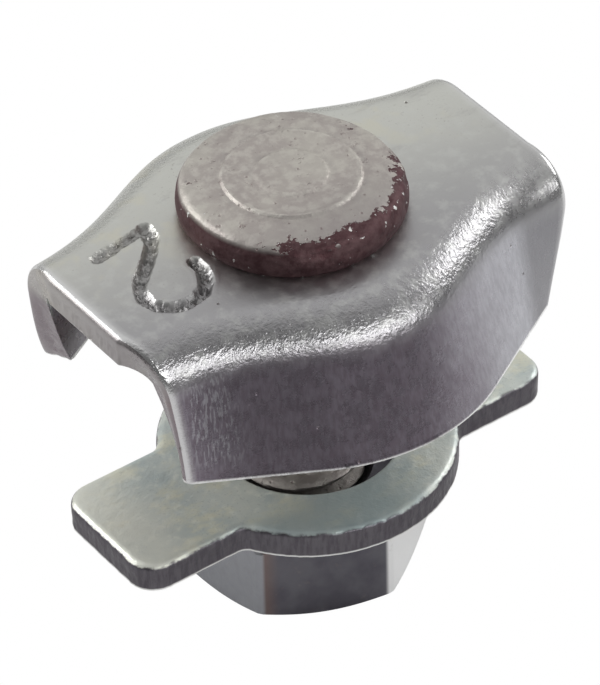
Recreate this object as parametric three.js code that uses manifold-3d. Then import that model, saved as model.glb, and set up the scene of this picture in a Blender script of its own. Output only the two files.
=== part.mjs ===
// Wire rope clip for 2 mm rope, in millimetres with +Z up and X along the rope: a pressed bridge cap,
// a screw that it keeps from turning, a flat clamp plate and a hexagon nut that draws the plate up.
// The origin is the middle of the nut's lower face, with the clip open.
import * as THREE from "three";
import { mergeVertices } from "three/addons/utils/BufferGeometryUtils.js";
import Module from "manifold-3d";

const wasm = await Module();
wasm.setup();

// Driving dimensions
const SHEET = 1; // thickness of both pressed pieces
const OPEN_GAP = 7.53; // from the plate's upper face to the cap's underside, with the clip open

const NUT = {
  acrossFlats: 7,
  height: 3.2,
  faceRadius: 3.3,
  chamferSlope: Math.tan(Math.PI / 6),
  mouthRadius: 2.25,
  turn: THREE.MathUtils.degToRad(6.2), // of the flats away from facing X
};
const THREAD = { radius: 2, rootRadius: 1.57, pitch: 0.7, clearance: 0.12, columns: 24 };
// Where the corners of the thread's profile come in a pitch, as shares of it
const GROOVE_END = 0.25;
const CREST_START = 0.5625;
const CREST_END = 0.6875;
const SCREW = { length: 12, point: 0.5, neck: 4, plainEnd: 1.7, plainRadius: 1.75 };
const HEAD = { height: 1.32, edge: 0.9, footRadius: 3.24, widest: 3.38, ringRadius: 2.05 };

const CAP = {
  halfLength: 7.33, // at the upper face
  footHalfLength: { front: 6.59, back: 6.44 }, // at the lower edges of the -Y and +Y flanges
  depth: 4.58, // from the upper face to the flanges' lower edge
  bulge: { frontRight: 0.24, backLeft: -0.16 }, // of two ends past that line, halfway down
  hole: 4.1, // side of the square hole for the screw's neck
  edgeRoll: 0.16, // rounding of the ends' upper edges
};
const FLAT = { end: 1.61, middle: 3.78, reach: 4.21, power: 2.2 }; // half widths of the flat top
const FOOT = { end: 3.64, slope: 0.572, middle: 6.5 }; // half widths at the lower edge
const BEND = { end: 1.6, middle: 1.75 }; // outer bend radius

const PLATE = {
  discRadius: 4.5,
  lugHalfLength: 7.42,
  lugHalfWidth: 2.2,
  corner: 0.85, // radius of the lugs' corners
  notch: 0.45, // fillet where a lug leaves the disc
  hole: 5.5,
  offset: { x: 0.25, y: -0.13 }, // the hole is wide, so the plate hangs to one side of the screw
};

// Levels, from the nut's lower face up
const PLATE_BOTTOM = NUT.height;
const PLATE_TOP = PLATE_BOTTOM + SHEET;
const CAP_UNDERSIDE = PLATE_TOP + OPEN_GAP;
const CAP_TOP = CAP_UNDERSIDE + SHEET;
const SCREW_END = CAP_TOP - SCREW.length;

const ROUND = 64; // sides of a round face
const ARC_STEPS = 6; // pieces of a small corner's arc
const CAP_COLUMNS = 34; // pieces of the cap's grid from end to end
const BEND_ROWS = 6; // and across one bend
const FLANGE_ROWS = 3; // and down one flange

const zinc = (color, roughness) => new THREE.MeshStandardMaterial({ color, roughness, metalness: 1 });
const CAP_ZINC = zinc(0xb4b4b6, 0.35);
const HEAD_ZINC = zinc(0x9a918c, 0.5);
const PLATE_ZINC = zinc(0xa9b0a4, 0.38);
const NUT_ZINC = zinc(0x6f6c6e, 0.45);

// A closed geometry as a solid that can be cut and joined
function toSolid(geometry) {
  const bare = new THREE.BufferGeometry().setAttribute("position", geometry.getAttribute("position"));
  bare.setIndex(geometry.index);
  const merged = mergeVertices(bare, 1e-4);
  const mesh = new wasm.Mesh({
    numProp: 3,
    vertProperties: merged.attributes.position.array,
    triVerts: new Uint32Array(merged.index.array),
  });
  return new wasm.Manifold(mesh);
}

function toMesh(solid, name, material) {
  const { vertProperties, triVerts } = solid.getMesh();
  const geometry = new THREE.BufferGeometry();
  geometry.setAttribute("position", new THREE.BufferAttribute(vertProperties, 3));
  geometry.setIndex(new THREE.BufferAttribute(triVerts, 1));
  geometry.computeVertexNormals();
  const mesh = new THREE.Mesh(geometry, material);
  mesh.name = name;
  return mesh;
}

// A triangle list over shared corners as a geometry
function indexedGeometry(points, triangles) {
  const geometry = new THREE.BufferGeometry().setFromPoints(points);
  return geometry.setIndex(triangles);
}

// A solid turned about Z from [radius, z] corners, listed from the bottom up
function turned(profile, segments = ROUND) {
  const corners = profile.map(([radius, z]) => new THREE.Vector2(radius, z));
  return toSolid(new THREE.LatheGeometry(corners, segments).rotateX(Math.PI / 2));
}

function cylinder(radius, bottom, top, segments = ROUND) {
  return turned([[0, bottom], [radius, bottom], [radius, top], [0, top]], segments);
}

function squareBar(side, bottom, top) {
  const bar = new THREE.BoxGeometry(side, side, top - bottom);
  return toSolid(bar.translate(0, 0, (bottom + top) / 2));
}

function extruded(shape, bottom, height) {
  const geometry = new THREE.ExtrudeGeometry(shape, { depth: height, bevelEnabled: false });
  return toSolid(geometry.translate(0, 0, bottom));
}

function arc(x, y, radius, start, stop, steps) {
  const points = [];
  for (let i = 0; i <= steps; i++) {
    const angle = THREE.MathUtils.lerp(start, stop, i / steps);
    points.push(new THREE.Vector2(x + radius * Math.cos(angle), y + radius * Math.sin(angle)));
  }
  return points;
}

// A right-hand threaded rod between two levels. Its skin is a grid whose rows follow the thread's
// corners, four to a pitch, and climb one pitch a turn, so the last column meets the first one up.
function threadedRod(crest, root, bottom, top) {
  const { pitch, columns } = THREAD;
  const corners = [[0, root], [GROOVE_END, root], [CREST_START, crest], [CREST_END, crest]];
  const turns = Math.ceil((top - bottom) / pitch) + 2;
  const rows = corners.length * turns;
  const start = pitch * Math.floor(bottom / pitch - 1);
  const points = [];
  for (let column = 0; column < columns; column++) {
    for (let row = 0; row <= rows; row++) {
      const [share, radius] = corners[row % corners.length];
      const level = Math.floor(row / corners.length) + share + column / columns;
      const angle = (2 * Math.PI * column) / columns;
      points.push(new THREE.Vector3().setFromCylindricalCoords(radius, angle, start + pitch * level));
    }
  }
  const at = (column, row) =>
    column < columns ? column * (rows + 1) + row : row + corners.length;
  const triangles = [];
  for (let column = 0; column < columns; column++) {
    const last = column === columns - 1 ? rows - corners.length : rows;
    for (let row = 0; row < last; row++) {
      const [a, b] = [at(column, row), at(column + 1, row)];
      triangles.push(a, b, b + 1, a, b + 1, a + 1);
    }
  }
  closeRodEnds(points, triangles, at, rows, corners.length);
  const upright = indexedGeometry(points.map(standUp), triangles);
  return toSolid(upright).intersect(cylinder(crest + 1, bottom, top));
}

// Cylindrical coordinates in three.js are about Y: this puts (sin, y, cos) on (cos, sin, z)
function standUp(point) {
  return new THREE.Vector3(point.z, point.x, point.y);
}

// Closes the rod's stepped ends with a fan from a point on the axis
function closeRodEnds(points, triangles, at, rows, step) {
  const { columns } = THREAD;
  const lower = [];
  const upper = [];
  for (let column = 0; column < columns; column++) {
    lower.push(at(column, 0));
    upper.push(at(column, rows));
  }
  for (let row = step; row > 0; row--) lower.push(at(0, row));
  // the upper end's last column steps down to the first column's top
  for (let row = rows - 1; row >= rows - step; row--) upper.push(at(columns - 1, row));
  fan(points, triangles, lower.reverse());
  fan(points, triangles, upper);
}

function fan(points, triangles, loop) {
  const centre = new THREE.Vector3();
  loop.forEach((index) => centre.add(points[index]));
  centre.set(0, centre.y / loop.length, 0);
  const hub = points.push(centre) - 1;
  loop.forEach((index, i) => triangles.push(hub, index, loop[(i + 1) % loop.length]));
}

// Half width of the cap's flat top: narrow ends that swell round the screw
function flatHalfWidth(x) {
  const swell = Math.exp(-((Math.abs(x) / FLAT.reach) ** FLAT.power));
  return FLAT.end + (FLAT.middle - FLAT.end) * swell;
}

// Half width at the flanges' lower edge: straight slants joined by an arc round the screw
function footHalfWidth(x) {
  const slant = (distance) => FOOT.end + FOOT.slope * (CAP.footHalfLength.front - distance);
  const angle = Math.atan(FOOT.slope);
  const radius = (slant(0) - FOOT.middle) / (1 / Math.cos(angle) - 1);
  if (Math.abs(x) > radius * Math.sin(angle)) return slant(Math.abs(x));
  return FOOT.middle - radius + Math.sqrt(radius ** 2 - x ** 2);
}

function bendRadius(x) {
  const share = (flatHalfWidth(x) - FLAT.end) / (FLAT.middle - FLAT.end);
  return BEND.end + (BEND.middle - BEND.end) * share;
}

// Distance from the middle to the end. The flanges end short of the flat top: three corners round in
// near the lower edge, and the fourth is sheared back from just below the bend.
function endDistance(u, s) {
  const down = THREE.MathUtils.clamp((Math.abs(s) - 1) / 2, 0, 1);
  const shearedBack = u < 0 && s < 0;
  const drop = shearedBack ? 1 - (1 - down) ** 2 : down ** 4;
  const foot = s < 0 ? CAP.footHalfLength.front : CAP.footHalfLength.back;
  return THREE.MathUtils.lerp(CAP.halfLength, foot, drop) + cornerBulge(u, s) * 4 * down * (1 - down);
}

// How far a corner's end stands out past the straight line, at its most
function cornerBulge(u, s) {
  if (u > 0 && s < 0) return CAP.bulge.frontRight;
  return u < 0 && s > 0 ? CAP.bulge.backLeft : 0;
}

// A point of the cap's outer face. u runs from end to end. s runs across it: 0 is the middle, up to 1
// is flat, 1 to 2 is the bend and 2 to 3 the flange, with a minus sign on the -Y side.
function capFace(u, s) {
  const part = Math.abs(s);
  const x = u * endDistance(u, s);
  const radius = bendRadius(x);
  const flat = flatHalfWidth(x);
  const rise = CAP.depth - radius;
  const reach = footHalfWidth(x) - flat;
  const lean = Math.acos(radius / Math.hypot(reach, rise)) - Math.atan2(rise, reach);
  const turn = THREE.MathUtils.lerp(Math.PI / 2, lean, THREE.MathUtils.clamp(part - 1, 0, 1));
  let y = flat * Math.min(part, 1) + radius * Math.cos(turn);
  let z = radius * (Math.sin(turn) - 1);
  if (part > 2) {
    y = THREE.MathUtils.lerp(y, footHalfWidth(x), part - 2);
    z = THREE.MathUtils.lerp(z, -CAP.depth, part - 2);
  }
  return new THREE.Vector3(x, Math.sign(s) * y, CAP_TOP + z);
}

// The two directions of the cap's outer face at a point
function capTangents(u, s) {
  const h = 1e-3;
  const side = Math.abs(s) > 3 - h ? -h * Math.sign(s) : h;
  const along = capFace(u + h, s).sub(capFace(u - h, s));
  const across = capFace(u, s + side).sub(capFace(u, s));
  return { along, across: across.divideScalar(side) };
}

// The matching point of the inner face, one sheet thickness in along the surface normal
function capInnerFace(u, s) {
  const { along, across } = capTangents(u, s);
  const normal = along.clone().cross(across).normalize();
  const point = capFace(u, s).addScaledVector(normal, -SHEET);
  if (Math.abs(s) === 3) {
    const foot = CAP_TOP - CAP.depth;
    point.addScaledVector(across, (foot - point.z) / across.z);
  }
  return point;
}

function bridgeCap() {
  const roll = CAP.edgeRoll / CAP.halfLength;
  const us = [-1];
  for (let i = 0; i <= CAP_COLUMNS; i++) us.push((1 - roll) * ((2 * i) / CAP_COLUMNS - 1));
  us.push(1);
  const half = [0.5, 1];
  for (let i = 1; i <= BEND_ROWS; i++) half.push(1 + i / BEND_ROWS);
  for (let i = 1; i <= FLANGE_ROWS; i++) half.push(2 + i / FLANGE_ROWS);
  const across = [...half.map((s) => -s).reverse(), 0, ...half];
  const outer = us.map((u) => across.map((s) => rolledFace(u, s)));
  const inner = us.map((u) => across.map((s) => capInnerFace(u, s)));
  const hole = squareBar(CAP.hole, CAP_UNDERSIDE - 1, CAP_TOP + 1);
  return thickSheet(outer, inner).subtract(hole);
}

// The outer face, let in by the edge roll at both ends
function rolledFace(u, s) {
  const point = capFace(u, s);
  if (Math.abs(u) < 1) return point;
  const { along, across } = capTangents(u, s);
  return point.addScaledVector(along.cross(across).normalize(), -CAP.edgeRoll);
}

// A sheet between two grids of points, closed all round
function thickSheet(outer, inner) {
  const [columns, rows] = [outer.length, outer[0].length];
  const at = (i, j) => i * rows + j;
  const below = columns * rows;
  const triangles = [];
  for (let i = 0; i + 1 < columns; i++) {
    for (let j = 0; j + 1 < rows; j++) {
      const [a, b, c, d] = [at(i, j), at(i + 1, j), at(i + 1, j + 1), at(i, j + 1)];
      triangles.push(a, b, c, a, c, d);
      triangles.push(below + a, below + c, below + b, below + a, below + d, below + c);
    }
  }
  const rim = [];
  for (let i = 0; i < columns - 1; i++) rim.push(at(i, 0));
  for (let j = 0; j < rows - 1; j++) rim.push(at(columns - 1, j));
  for (let i = columns - 1; i > 0; i--) rim.push(at(i, rows - 1));
  for (let j = rows - 1; j > 0; j--) rim.push(at(0, j));
  rim.forEach((p, i) => {
    const q = rim[(i + 1) % rim.length];
    triangles.push(q, p, below + p, q, below + p, below + q);
  });
  return toSolid(indexedGeometry([...outer.flat(), ...inner.flat()], triangles));
}

// Low domed head, square neck, plain run-out and thread
function clampScrew() {
  const z = (height) => CAP_TOP + height;
  const { height, edge, footRadius, widest, ringRadius } = HEAD;
  const head = turned([
    [0, z(0)],
    [footRadius, z(0)],
    [widest - 0.04, z(edge * 0.2)],
    [widest, z(edge * 0.45)],
    [widest - 0.04, z(edge * 0.8)],
    [widest - 0.14, z(edge)],
    [widest - 0.35, z(edge + 0.12)],
    [(widest + ringRadius) / 2, z(edge + 0.23)],
    [ringRadius, z(height - 0.08)],
    [1, z(height - 0.02)],
    [0, z(height)],
  ]);
  const neck = squareBar(SCREW.neck, z(-SHEET), z(0.2));
  const shank = cylinder(SCREW.plainRadius, z(-SCREW.plainEnd), z(-0.5), THREAD.columns);
  const rod = threadedRod(THREAD.radius, THREAD.rootRadius, SCREW_END, z(-SCREW.plainEnd + 0.3));
  const point = turned([
    [0, SCREW_END],
    [THREAD.radius - SCREW.point, SCREW_END],
    [THREAD.radius + 0.5, SCREW_END + SCREW.point + 0.5],
    [THREAD.radius + 0.5, z(0)],
    [0, z(0)],
  ]);
  return head.add(neck).add(shank).add(rod.intersect(point));
}

// Corners of the plate's outline, anticlockwise from the +X lug's tip
function plateOutline() {
  const { discRadius, lugHalfLength, lugHalfWidth, corner, notch } = PLATE;
  const filletY = lugHalfWidth + notch;
  const filletX = Math.sqrt((discRadius + notch) ** 2 - filletY ** 2);
  const meet = Math.atan2(filletY, filletX);
  const quarter = [
    ...arc(lugHalfLength - corner, lugHalfWidth - corner, corner, 0, Math.PI / 2, ARC_STEPS),
    ...arc(filletX, filletY, notch, -Math.PI / 2, meet - Math.PI, ARC_STEPS),
    ...arc(0, 0, discRadius, meet, Math.PI / 2, ROUND / 8).slice(1, -1),
  ];
  const mirrored = (points, x, y) => points.map((p) => new THREE.Vector2(p.x * x, p.y * y));
  const middle = new THREE.Vector2(0, discRadius);
  const upper = [...quarter, middle, ...mirrored(quarter, -1, 1).reverse()];
  return [...upper, ...mirrored(upper, 1, -1).reverse()];
}

// A round disc with a lug along the rope on each side and a hole for the screw
function clampPlate() {
  const bore = cylinder(PLATE.hole / 2, PLATE_BOTTOM - 1, PLATE_TOP + 1);
  return extruded(new THREE.Shape(plateOutline()), PLATE_BOTTOM, SHEET).subtract(bore);
}

// Hexagon nut with both faces chamfered and its thread cut in step with the screw's
function hexNut() {
  const { acrossFlats, height, faceRadius, chamferSlope, mouthRadius, turn } = NUT;
  const cornerRadius = acrossFlats / Math.sqrt(3);
  const corners = arc(0, 0, cornerRadius, turn + Math.PI / 6, turn + (11 * Math.PI) / 6, 5);
  const wide = cornerRadius + 0.5;
  const chamfer = (wide - faceRadius) * chamferSlope;
  const envelope = turned([
    [0, 0],
    [faceRadius, 0],
    [wide, chamfer],
    [wide, height - chamfer],
    [faceRadius, height],
    [0, height],
  ]);
  const { radius, rootRadius, clearance } = THREAD;
  const tap = threadedRod(radius + clearance, rootRadius + clearance, -1, height + 1);
  const [inner, outer] = [mouthRadius - 1, mouthRadius + 1];
  const lowerLead = turned([[0, -1], [outer, -1], [inner, 1], [0, 1]]);
  const upperLead = turned([[0, height - 1], [inner, height - 1], [outer, height + 1], [0, height + 1]]);
  const blank = extruded(new THREE.Shape(corners), 0, height).intersect(envelope);
  return blank.subtract(tap).subtract(lowerLead).subtract(upperLead);
}

const plate = toMesh(clampPlate(), "clamp_plate", PLATE_ZINC);
plate.position.set(PLATE.offset.x, PLATE.offset.y, 0);

const clip = new THREE.Group();
clip.add(
  toMesh(bridgeCap(), "bridge_cap", CAP_ZINC),
  toMesh(clampScrew(), "clamp_screw", HEAD_ZINC),
  plate,
  toMesh(hexNut(), "hex_nut", NUT_ZINC),
);

export default clip;
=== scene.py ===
import math

import bmesh
import bpy
import numpy as np
from mathutils import Matrix, Vector


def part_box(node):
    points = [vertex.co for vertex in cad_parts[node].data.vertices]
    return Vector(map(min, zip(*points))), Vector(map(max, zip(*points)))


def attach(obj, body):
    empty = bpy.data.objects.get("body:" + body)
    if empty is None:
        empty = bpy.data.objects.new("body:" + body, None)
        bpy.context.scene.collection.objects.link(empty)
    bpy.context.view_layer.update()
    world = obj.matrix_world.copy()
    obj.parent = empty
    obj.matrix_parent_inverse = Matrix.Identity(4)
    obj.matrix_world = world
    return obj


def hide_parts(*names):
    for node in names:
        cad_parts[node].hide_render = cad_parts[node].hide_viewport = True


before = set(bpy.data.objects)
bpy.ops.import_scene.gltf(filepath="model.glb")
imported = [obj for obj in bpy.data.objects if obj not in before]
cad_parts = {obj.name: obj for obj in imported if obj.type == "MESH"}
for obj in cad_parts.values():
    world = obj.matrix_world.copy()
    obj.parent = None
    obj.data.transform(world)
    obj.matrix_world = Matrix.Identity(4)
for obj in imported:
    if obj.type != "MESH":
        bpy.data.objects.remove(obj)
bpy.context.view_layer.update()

MM = 0.001
SHEET = 1.0  # thickness of both pressed pieces
SAME_POINT = 2e-7  # metres; points closer than this are one

# Levels above the nut's lower face, read from the CAD pieces
CAP_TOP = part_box("bridge_cap")[1].z / MM
CAP_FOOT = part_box("bridge_cap")[0].z / MM
HEAD_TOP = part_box("clamp_screw")[1].z / MM
SCREW_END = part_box("clamp_screw")[0].z / MM
PLATE_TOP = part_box("clamp_plate")[1].z / MM
PLATE_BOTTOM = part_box("clamp_plate")[0].z / MM
NUT_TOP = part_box("hex_nut")[1].z / MM


# ---- smooth repeatable noise


def lattice(ix, iy, iz, seed):
    """Repeatable values from 0 to 1 at whole-number points, from a hash of large odd numbers."""
    h = (ix * 374761393 + iy * 668265263 + iz * 2147483647 + seed * 974634777) & 0xFFFFFFFF
    h = ((h ^ (h >> 13)) * 1274126177) & 0xFFFFFFFF
    return ((h ^ (h >> 16)) & 0xFFFF) / 65535.0


def noise(x, y, z, cell, seed):
    """Smooth noise from -1 to 1 with bumps about one cell wide. Each use has its own seed."""
    p = [np.asarray(v, float) / cell + 1000.0 for v in np.broadcast_arrays(x, y, z)]
    base = [np.floor(v).astype(np.int64) for v in p]
    f = [v - b for v, b in zip(p, base)]
    f = [v * v * (3 - 2 * v) for v in f]
    total = 0
    for corner in range(8):
        step = [(corner >> k) & 1 for k in range(3)]
        weight = 1
        for k in range(3):
            weight = weight * (f[k] if step[k] else 1 - f[k])
        total = total + weight * lattice(*[b + s for b, s in zip(base, step)], seed)
    return 2 * total - 1


def smoothstep(low, high, v):
    t = np.clip((v - low) / (high - low), 0, 1)
    return t * t * (3 - 2 * t)


def lerp(a, b, t):
    return a + (b - a) * t


def spaced(start, stop, step):
    """Evenly spaced values from start up to, but without, stop."""
    count = max(1, int(math.ceil((stop - start) / step)))
    return np.linspace(start, stop, count, endpoint=False)


# ---- meshes


def grid_faces(rows, columns, start=0, closed=False):
    """Quads over points stored row by row. A closed grid's last column meets its first."""
    i = np.arange(rows - 1)[:, None] * columns
    j = np.arange(columns if closed else columns - 1)[None, :]
    k = (j + 1) % columns
    quads = np.stack([i + j, i + k, i + columns + k, i + columns + j], -1)
    return quads.reshape(-1, 4) + start


def make_piece(name, points, quads, body, node, material, fans=(), values=(), sharp_deg=38):
    """A mesh from points in millimetres, its quads and triangles, with named values per point. It
    moves with a body and stands for a CAD node."""
    mesh = bpy.data.meshes.new(name)
    faces = quads.tolist() + [list(t) for t in fans]
    mesh.from_pydata((points * MM).tolist(), [], faces)
    for key, data in dict(values).items():
        attribute = mesh.attributes.new(key, "FLOAT", "POINT")
        attribute.data.foreach_set("value", np.asarray(data, np.float32))
    mesh.validate()
    mesh.materials.append(material)
    piece = bpy.data.objects.new(name, mesh)
    bpy.context.scene.collection.objects.link(piece)
    merge_points(mesh)
    mesh.shade_smooth()
    mesh.set_sharp_from_angle(angle=math.radians(sharp_deg))
    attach(piece, body)
    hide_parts(node)


def merge_points(mesh):
    """Joins points that lie on each other, where one grid meets the next."""
    work = bmesh.new()
    work.from_mesh(mesh)
    bmesh.ops.remove_doubles(work, verts=work.verts, dist=SAME_POINT)
    bmesh.ops.recalc_face_normals(work, faces=work.faces)
    work.to_mesh(mesh)
    work.free()


def ring_faces(grid):
    """Quads over closed rows whose last row meets the first."""
    rows, columns = grid.shape[:2]
    last = (rows - 1) * columns
    j = np.arange(columns)
    k = (j + 1) % columns
    seam = np.stack([last + j, last + k, k, j], -1)
    return np.concatenate([grid_faces(rows, columns, closed=True), seam])


# ---- bridge cap

CAP_HALF = 7.33  # half the length, at the flat
FOOT_HALF_FRONT, FOOT_HALF_BACK = 6.59, 6.44  # and at the flanges' lower edges
BULGE_FRONT_RIGHT, BULGE_BACK_LEFT = 0.24, -0.16  # of two ends past the line between those
CAP_DEPTH = 4.58
# Half the width of the flat, of the foot, and the bend's radius, at the ends and in the middle
FLAT_END, FLAT_MIDDLE, FLAT_REACH, FLAT_POWER = 1.61, 3.78, 4.21, 2.2
FOOT_END, FOOT_SLOPE, FOOT_MIDDLE = 3.64, 0.572, 6.5
BEND_END, BEND_MIDDLE = 1.6, 1.75
HOLE_HALF = 2.05  # of the square hole for the screw's neck
EDGE = 0.26  # rounding of the cap's outer edges
INNER_EDGE = 0.05  # how far the inner edges are broken
STRAIGHT = 2.15  # rows within this distance of the middle line run straight along the cap


def flat_half(x):
    """Half the width of the flat top."""
    return FLAT_END + (FLAT_MIDDLE - FLAT_END) * np.exp(-((np.abs(x) / FLAT_REACH) ** FLAT_POWER))


def foot_half(x):
    """Half the width at the foot: an arc in the middle that runs into a slanting line."""
    distance = np.abs(x)
    slant = FOOT_END + FOOT_SLOPE * (FOOT_HALF_FRONT - distance)
    angle = math.atan(FOOT_SLOPE)
    radius = (FOOT_END + FOOT_SLOPE * FOOT_HALF_FRONT - FOOT_MIDDLE) / (1 / math.cos(angle) - 1)
    arc = FOOT_MIDDLE - radius + np.sqrt(np.maximum(radius**2 - distance**2, 0))
    return np.where(distance > radius * math.sin(angle), slant, arc)


def section(x):
    """Sizes of the cap's cross-section at x."""
    flat = flat_half(x)
    radius = BEND_END + (BEND_MIDDLE - BEND_END) * (flat - FLAT_END) / (FLAT_MIDDLE - FLAT_END)
    rise = CAP_DEPTH - radius
    reach = foot_half(x) - flat
    lean = np.arccos(radius / np.hypot(reach, rise)) - np.arctan2(rise, reach)
    bend = radius * (math.pi / 2 - lean)
    flange = np.hypot(reach - radius * np.cos(lean), rise + radius * np.sin(lean))
    return flat, radius, lean, bend, flange


def part_of(x, v):
    """Where arc distance v from the middle lies: 0 to 1 flat, 1 to 2 bend, 2 to 3 flange."""
    flat, _, _, bend, flange = section(x)
    return np.select(
        [v <= flat, v <= flat + bend],
        [v / flat, 1 + (v - flat) / bend],
        2 + (v - flat - bend) / flange,
    )


def end_distance(u, part, side):
    """Distance from the middle to the end u points at, which is nearer lower down the flange."""
    down = np.clip((part - 1) / 2, 0, 1)
    sheared_back = (u < 0) & (side < 0)
    drop = np.where(sheared_back, 1 - (1 - down) ** 2, down**4)
    foot = np.where(side < 0, FOOT_HALF_FRONT, FOOT_HALF_BACK)
    bulge = np.where((u > 0) & (side < 0), BULGE_FRONT_RIGHT, 0.0)
    bulge = np.where((u < 0) & (side > 0), BULGE_BACK_LEFT, bulge)
    return lerp(CAP_HALF, foot, drop) + bulge * 4 * down * (1 - down)


def cap_x(u, inner, share, lift, side):
    """x and arc distance of a grid point. Inner rows lie at a fixed distance from the middle line,
    outer rows at a share of the way from there to the foot, less a lift above the foot."""
    x = u * CAP_HALF
    for _ in range(5):  # each round brings x and the section it depends on closer together
        flat, _, _, bend, flange = section(x)
        total = flat + bend + flange
        v = np.where(share <= 0, inner, lerp(STRAIGHT, total, share)) - lift
        part = part_of(x, v)
        x = u * end_distance(u, part, side)
    return x, v, part


def cap_outer(u, inner, share, lift, side):
    """A point of the outer face, and the part of the section it lies on."""
    x, v, part = cap_x(u, inner, share, lift, side)
    flat, radius, lean, _, _ = section(x)
    turn = lerp(math.pi / 2, lean, np.clip(part - 1, 0, 1))
    y = np.minimum(v, flat) + radius * np.cos(turn)
    z = radius * (np.sin(turn) - 1)
    down = np.clip(part - 2, 0, 1)
    y = lerp(y, foot_half(x), down)
    z = lerp(z, -CAP_DEPTH, down)
    return np.stack([x, side * y, CAP_TOP + z], -1), part


def cap_point(u, inner, share, side, lift, depth):
    """A point at a depth below the cap's outer face."""
    h = 1e-4  # a small step along the face
    here, part = cap_outer(u, inner, share, lift, side)
    along = cap_outer(u + h, inner, share, lift, side)[0] - here
    across = cap_outer(u, inner, share, lift + h, side)[0] - here
    normal = -side[..., None] * np.cross(along, across)
    normal /= np.linalg.norm(normal, axis=-1, keepdims=True)
    point = here - normal * depth[..., None]
    # on the flange the point is slid along the face, back to its own level
    fall = np.where(part > 2, across[..., 2], 1)
    slide = np.clip(part - 2, 0, 1) * (here[..., 2] - point[..., 2]) / fall
    return point + across * slide[..., None], part


def rounded(a, b, c, reach):
    """Pulls points of a sharp corner's faces onto a rounding. a, b and c are distances from the
    end, from the foot and below the outer face."""
    centre = [np.maximum(v, reach) for v in (a, b, c)]
    offset = [v - w for v, w in zip((a, b, c), centre)]
    size = np.sqrt(sum(o * o for o in offset))
    scale = np.minimum(reach / np.maximum(size, 1e-9), 1)
    return [w + o * scale for w, o in zip(centre, offset)]


def edge_steps(count=5):
    """Distances from an edge whose rounding they split into equal angles."""
    return EDGE * (1 - np.tan(np.linspace(math.pi / 4, 0, count)))


# The size numeral, a path of straight and round strokes pressed into the left end
NUMERAL_BASE = [(-5.74, 1.52), (-3.9, 1.8)]
NUMERAL_CURVE = [
    (-3.9, 1.8),
    (-4.0, 1.3),
    (-4.4, 0.8),
    (-4.98, 0.28),
    (-5.46, -0.14),
    (-5.7, -0.6),
    (-5.72, -1.07),
    (-5.48, -1.46),
    (-5.08, -1.66),
    (-4.6, -1.67),
    (-4.16, -1.5),
    (-3.84, -1.15),
    (-3.64, -0.68),
    (-3.64, -0.3),
]


def path_distance(x, y, path):
    """Distance to a path of straight pieces, and how far along it the nearest point is."""
    best = np.full(np.shape(x), 1e9)
    along = np.zeros(np.shape(x))
    start = 0.0
    for (x0, y0), (x1, y1) in zip(path, path[1:]):
        length = math.hypot(x1 - x0, y1 - y0)
        t = np.clip(((x - x0) * (x1 - x0) + (y - y0) * (y1 - y0)) / length**2, 0, 1)
        d = np.hypot(x - x0 - t * (x1 - x0), y - y0 - t * (y1 - y0))
        along = np.where(d < best, start + t * length, along)
        best = np.minimum(best, d)
        start += length
    return best, along


def smooth_path(points, rounds=2):
    """Cuts the corners of a path, so that its strokes run round."""
    for _ in range(rounds):
        cut = [points[0]]
        for (x0, y0), (x1, y1) in zip(points, points[1:]):
            cut.append((lerp(x0, x1, 0.25), lerp(y0, y1, 0.25)))
            cut.append((lerp(x0, x1, 0.75), lerp(y0, y1, 0.75)))
        cut.append(points[-1])
        points = cut
    return points


# Each stroke's path, half width and depth
NUMERAL_STROKES = [(NUMERAL_BASE, 0.22, 0.14), (smooth_path(NUMERAL_CURVE), 0.24, 0.18)]


def numeral_depth(x, y):
    """Depth of the stamped numeral, with the chisel's chatter across its strokes."""
    depth = np.zeros(np.shape(x))
    for path, half, deep in NUMERAL_STROKES:
        d, along = path_distance(x, y, path)
        wander = 0.03 * noise(along, 0, 0, 0.25, 11)
        chatter = noise(along, d, 0, 0.09, 5) + 0.6 * noise(along, 2 * d, 3, 0.045, 6)
        profile = np.clip(1 - d / (half + wander), 0, 1)
        groove = deep * np.minimum(profile * 1.6, 1) ** 0.8 * (1 + 0.3 * chatter)
        raised = 0.022 * np.exp(-(((d - half - 0.06) / 0.06) ** 2))
        depth = np.maximum(depth, groove) - raised
    return depth


DENTS = [  # x, y, radius, depth
    (6.2, 0.95, 0.16, 0.03),
    (6.25, 0.4, 0.13, 0.025),
    (5.95, 0.7, 0.1, 0.02),
    (4.6, 2.0, 0.07, 0.03),
]
IMPRINT = (-2.85, 2.35)  # of a square punch
IMPRINT_COS, IMPRINT_SIN = 0.79, 0.61  # of the angle it is turned by


def cap_marks(x, y):
    """Depth of everything pressed into or knocked off the cap's flat top."""
    depth = numeral_depth(x, y)
    # a faint square imprint beside the numeral
    dx, dy = x - IMPRINT[0], y - IMPRINT[1]
    px = dx * IMPRINT_COS - dy * IMPRINT_SIN
    py = dx * IMPRINT_SIN + dy * IMPRINT_COS
    inside = smoothstep(0.34, 0.28, np.abs(px)) * smoothstep(0.42, 0.36, np.abs(py))
    depth += 0.012 * inside * (0.6 + 0.8 * noise(x, y, 0, 0.12, 9))
    for cx, cy, size, deep in DENTS:
        depth += deep * np.exp(-(((x - cx) ** 2 + (y - cy) ** 2) / size**2))
    return depth


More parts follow.
